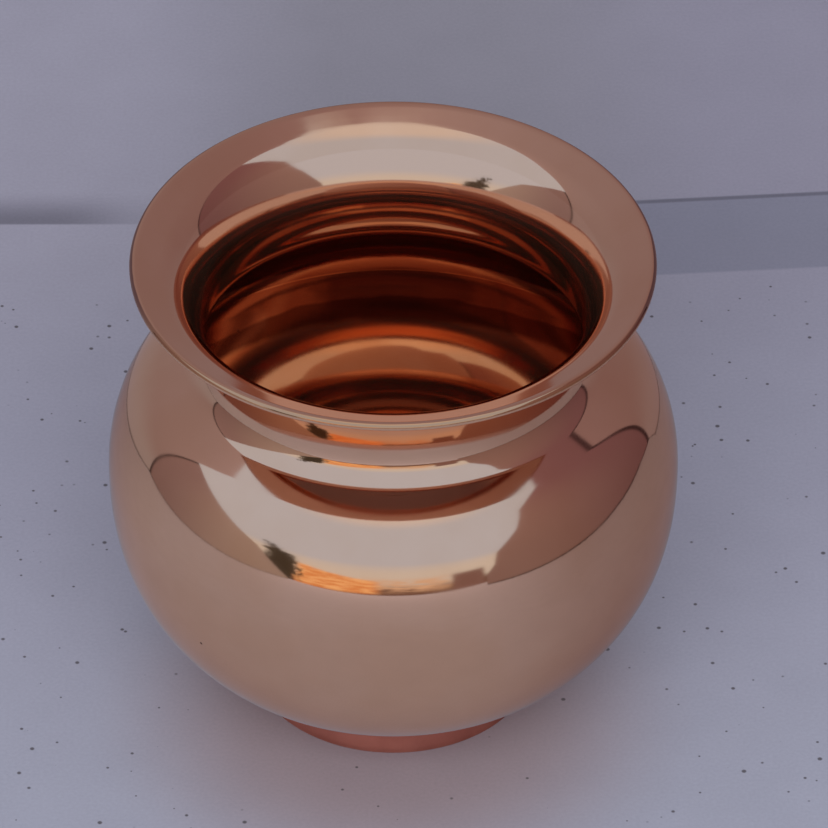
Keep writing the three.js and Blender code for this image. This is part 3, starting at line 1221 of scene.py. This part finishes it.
@dataclass(frozen=True)
class PaperBox:
    """The floor and the walls of folded paper round the pot, open in front."""

    floor_size: float = 8.0
    floor_parts: int = 8
    walls: tuple[PaperWall, ...] = (
        PaperWall(
            "left_wing",
            (
                (-0.500, -0.643, 0.004),
                (-0.489, -0.363, 0.164),
                (-0.481, -0.155, 0.293),
                (-0.472, 0.093, 0.455),
                (-0.470, 0.136, 0.480),
            ),
            near=(0.34, 0.34, 0.35),
            far=(0.22, 0.19, 0.22),
            near_azimuth=-50.0,
            far_azimuth=-100.0,
            corner_start=120.0 * MM,
        ),
        PaperWall(
            "back_wall",
            (
                (-0.470, 0.136, 0.770),
                (-0.125, 0.138, 0.800),
                (-0.070, 0.138, 0.880),
                (0.000, 0.138, 0.900),
                (0.070, 0.138, 0.850),
                (0.094, 0.138, 0.750),
                (0.106, 0.138, 0.620),
                (0.160, 0.139, 0.640),
                (0.235, 0.140, 0.770),
                (0.430, 0.238, 0.870),
            ),
            near=(0.26, 0.245, 0.29),
            far=(0.315, 0.35, 0.42),
            near_azimuth=-230.0,
            far_azimuth=-130.0,
            upper=(0.86, 0.74, 0.72),
        ),
        PaperWall(
            "right_wing",
            (
                (0.430, 0.238, 0.870),
                (0.470, 0.000, 0.800),
                (0.420, -0.178, 0.611),
                (0.386, -0.301, 0.364),
                (0.349, -0.431, 0.189),
                (0.343, -0.455, 0.113),
                (0.330, -0.500, 0.060),
            ),
            near=(0.245, 0.20, 0.21),
            far=(0.15, 0.095, 0.12),
            near_azimuth=40.0,
            far_azimuth=118.0,
            seam_shade=0.3,
            seam_shade_height=9.0 * MM,
            corner_start=216.0 * MM,
        ),
    )

    def build(self, modeller: Modeller, effects: SharedEffects) -> None:
        """Lay the floor and stand the walls up.

        Args:
            modeller: The modelling tools.
            effects: The shared node groups.
        """
        modeller.clear_selection()
        bpy.ops.mesh.primitive_grid_add(
            x_subdivisions=self.floor_parts, y_subdivisions=self.floor_parts, size=self.floor_size
        )
        floor = bpy.context.object
        floor.name = "paper_floor"
        floor.data.materials.append(FloorFinish().build(effects))
        LOG.info("stage %s", floor.name)
        for wall in self.walls:
            LOG.info("stage %s", wall.build(modeller).name)


@dataclass(frozen=True)
class EveningSky:
    """The world: an evening sky for mirrored rays, by angles in degrees, and plain light else."""

    ground: Colour = (0.17, 0.12, 0.10)
    low_glow: Colour = (0.78, 0.40, 0.16)
    haze: Colour = (0.68, 0.84, 0.90)
    sky: Colour = (0.55, 0.77, 1.03)
    top: Colour = (0.72, 0.86, 0.95)
    glow: Colour = (1.0, 0.75, 0.40)
    faint_glow: Colour = (0.75, 0.65, 0.50)
    bush: Colour = (0.06, 0.06, 0.05)
    block: Colour = (0.23, 0.17, 0.17)
    backdrop: Colour = (0.27, 0.265, 0.33)
    plain_light: Colour = (0.53, 0.53, 0.54)
    haze_start: Span = (-1.5, 2.5)
    sky_start: Span = (8.0, 18.0)
    top_start: Span = (64.0, 80.0)
    faint_sides: Span = (-12.0, 21.0)
    faint_heights: Span = (-3.0, 5.0)
    glow_sides: Span = (-37.0, -6.0)
    glow_start: Span = (-5.5, -4.0)
    glow_top: float = 1.8
    glow_slope: float = -0.13
    block_sides: Span = (22.0, 34.0)
    block_heights: Span = (-20.0, 5.5)
    bush_sides: Span = (-50.0, -36.5)
    bush_top: float = -19.0
    bush_slope: float = -0.75

    def mirrored(self, wire: Wiring) -> Socket:
        """Give the sky's colour by direction.

        Args:
            wire: The world's wiring.

        Returns:
            The colour's socket.
        """
        direction = wire.add("ShaderNodeTexCoord").outputs["Generated"]
        x, y, z = wire.split(direction)
        azimuth, height = wire.azimuth(x, y), wire.degrees(wire.math("ARCSINE", z))
        ragged = wire.minus(wire.noise(direction, 22.0, 4.0, 0.6), 0.5)
        streaked = wire.join(wire.times(azimuth, 0.12), wire.times(height, 0.9), 0.0)
        streaks = wire.noise(streaked, 1.0)
        colour = wire.blend(wire.fade(height, *self.haze_start), self.ground, self.haze)
        colour = wire.blend(wire.fade(height, *self.sky_start), colour, self.sky)
        colour = wire.blend(wire.fade(height, *self.top_start), colour, self.top)
        sides = wire.band(azimuth, *self.faint_sides, 3.0)
        faint = wire.times(sides, wire.band(height, *self.faint_heights, 2.0))
        faint = wire.times(faint, wire.fade(streaks, 0.3, 0.6))
        colour = wire.blend(faint, colour, self.faint_glow)
        tones = wire.blend(wire.fade(streaks, 0.40, 0.62), self.low_glow, self.glow)
        slope = wire.times(azimuth, self.glow_slope)
        top = wire.plus(slope, wire.times(streaks, 2.5), self.glow_top)
        over = wire.step(wire.minus(height, top), 0.0, -0.6)
        sides = wire.band(azimuth, *self.glow_sides, 3.0)
        glow = wire.times(sides, over, wire.fade(height, *self.glow_start))
        colour = wire.blend(glow, colour, tones)
        sides = wire.band(azimuth, *self.block_sides, 1.0)
        block = wire.times(sides, wire.band(height, *self.block_heights, 1.0))
        colour = wire.blend(block, colour, self.block)
        sides = wire.band(wire.plus(azimuth, wire.times(ragged, 16.0)), *self.bush_sides, 1.5)
        slope = wire.times(azimuth, self.bush_slope)
        top = wire.plus(slope, self.bush_top, wire.times(ragged, 14.0))
        bush = wire.times(sides, wire.step(wire.minus(height, top), 0.0, -1.0))
        return wire.blend(bush, colour, self.bush)

    def build(self) -> None:
        """Build the world."""
        world = bpy.data.worlds.new("evening")
        bpy.context.scene.world = world
        world.use_nodes = True
        world.node_tree.nodes.clear()
        wire = Wiring(world.node_tree)
        rays = wire.add("ShaderNodeLightPath")
        colour = wire.blend(rays.outputs["Is Glossy Ray"], self.plain_light, self.mirrored(wire))
        colour = wire.blend(rays.outputs["Is Camera Ray"], colour, self.backdrop)
        shine = wire.add("ShaderNodeBackground", {"Color": colour, "Strength": 1.0})
        wire.add("ShaderNodeOutputWorld", {"Surface": shine.outputs[0]})


@dataclass(frozen=True)
class SoftLamp:
    """A large soft lamp in front of the pot, which the copper doesn't mirror."""

    place: Vector = field(default_factory=lambda: Vector((-0.06, -1.25, 0.95)))
    aim: Vector = field(default_factory=lambda: Vector((0.0, 0.0, 0.0)))
    width: float = 1.6
    height: float = 1.0
    power: float = 20.0

    def build(self) -> None:
        """Hang the lamp."""
        bpy.ops.object.select_all(action="DESELECT")
        turn = aimed(self.place, self.aim)
        bpy.ops.object.light_add(type="AREA", location=self.place, rotation=turn)
        lamp = bpy.context.object
        lamp.name = "soft_lamp"
        lamp.data.shape = "RECTANGLE"
        lamp.data.size = self.width
        lamp.data.size_y = self.height
        lamp.data.energy = self.power
        lamp.visible_glossy = False


@dataclass(frozen=True)
class PhotoCamera:
    """The camera at the photograph's place."""

    distance: float = 1998.0 * MM
    elevation: float = math.radians(39.28)
    aim_height: float = 51.9 * MM
    aim_right: float = 4.04 * MM
    aim_up: float = 8.72 * MM
    lens: float = 445.3
    sensor: float = 36.0
    clip_end: float = 50.0

    def build(self) -> None:
        """Set the camera up and make it the scene's own."""
        sine, cosine = math.sin(self.elevation), math.cos(self.elevation)
        middle = Vector((0.0, 0.0, self.aim_height))
        eye = middle + Vector((0.0, -cosine, sine)) * self.distance
        aim = middle + Vector((self.aim_right, self.aim_up * sine, self.aim_up * cosine))
        bpy.ops.object.select_all(action="DESELECT")
        bpy.ops.object.camera_add(location=eye, rotation=aimed(eye, aim))
        camera = bpy.context.object
        camera.name = "photo_camera"
        camera.data.lens = self.lens
        camera.data.sensor_width = self.sensor
        camera.data.clip_end = self.clip_end
        bpy.context.scene.camera = camera


POLISHED_COPPER = OuterFinish(
    "polished_copper",
    colour=(0.82, 0.47, 0.32),
    film_colour=(0.77, 0.42, 0.27),
    speck_colour=(0.10, 0.05, 0.035),
    roughness=0.045,
)
INNER_COPPER = InnerFinish(
    "inner_copper",
    colour=(0.88, 0.50, 0.31),
    film_colour=(0.82, 0.41, 0.23),
    speck_colour=(0.10, 0.04, 0.03),
    roughness=0.05,
    metallic=0.98,
)
# The foot's satin roughness is its own; its darker, redder colour is painted shade and painted
# reflection of the copper above it.
FOOT_COPPER = MetalFinish(
    "foot_copper",
    colour=(0.72, 0.235, 0.165),
    film_colour=(0.55, 0.16, 0.11),
    speck_colour=(0.13, 0.06, 0.045),
    roughness=0.28,
    film_patches=90.0,
    rub_roughness=0.12,
    line_roughness=0.15,
    line_density=5000.0,
    line_height=0.0004 * MM,
    speck_share=0.12,
)
# The underside's slightly darker colour is painted shade.
UNDER_COPPER = UnderFinish(
    "under_lip_shaded_copper",
    colour=(0.78, 0.43, 0.29),
    film_colour=(0.70, 0.36, 0.23),
    speck_colour=(0.10, 0.05, 0.035),
    roughness=0.08,
)
BRAZE_ALLOY = MetalFinish(
    "braze_alloy",
    colour=(0.80, 0.48, 0.30),
    film_colour=(0.66, 0.40, 0.22),
    speck_colour=(0.16, 0.09, 0.05),
    roughness=0.2,
    film_patches=140.0,
    rub_roughness=0.15,
    line_roughness=0.1,
)


def set_bounces() -> None:
    """Let light go on inside the mirroring pot."""
    cycles = bpy.context.scene.cycles
    cycles.max_bounces = 20
    cycles.glossy_bounces = 16
    cycles.transparent_max_bounces = 16


def main() -> None:
    """Build the pot, what surrounds it, the light and the camera."""
    logging.basicConfig(level=logging.INFO, format="%(message)s")
    bpy.context.scene.view_settings.view_transform = "Standard"
    set_bounces()
    modeller = Modeller()
    effects = SharedEffects()
    profile = PotProfile()
    polished, inner, under, foot, braze = (
        finish.build(effects)
        for finish in (POLISHED_COPPER, INNER_COPPER, UNDER_COPPER, FOOT_COPPER, BRAZE_ALLOY)
    )
    parts: tuple[TurnedPiece, ...] = (
        LowerBowl(profile, modeller, (polished, inner)),
        UpperShell(profile, modeller, (polished, inner, under)),
        BellyBraze(profile, modeller, (braze, polished)),
        FootRing(profile, modeller, (foot,)),
        FootBraze(profile, modeller, (braze,)),
    )
    for part in parts:
        piece = part.build()
        LOG.info("piece %s, %d faces", piece.name, len(piece.data.polygons))
    PaperBox().build(modeller, effects)
    EveningSky().build()
    SoftLamp().build()
    PhotoCamera().build()


if __name__ == "__main__":
    main()
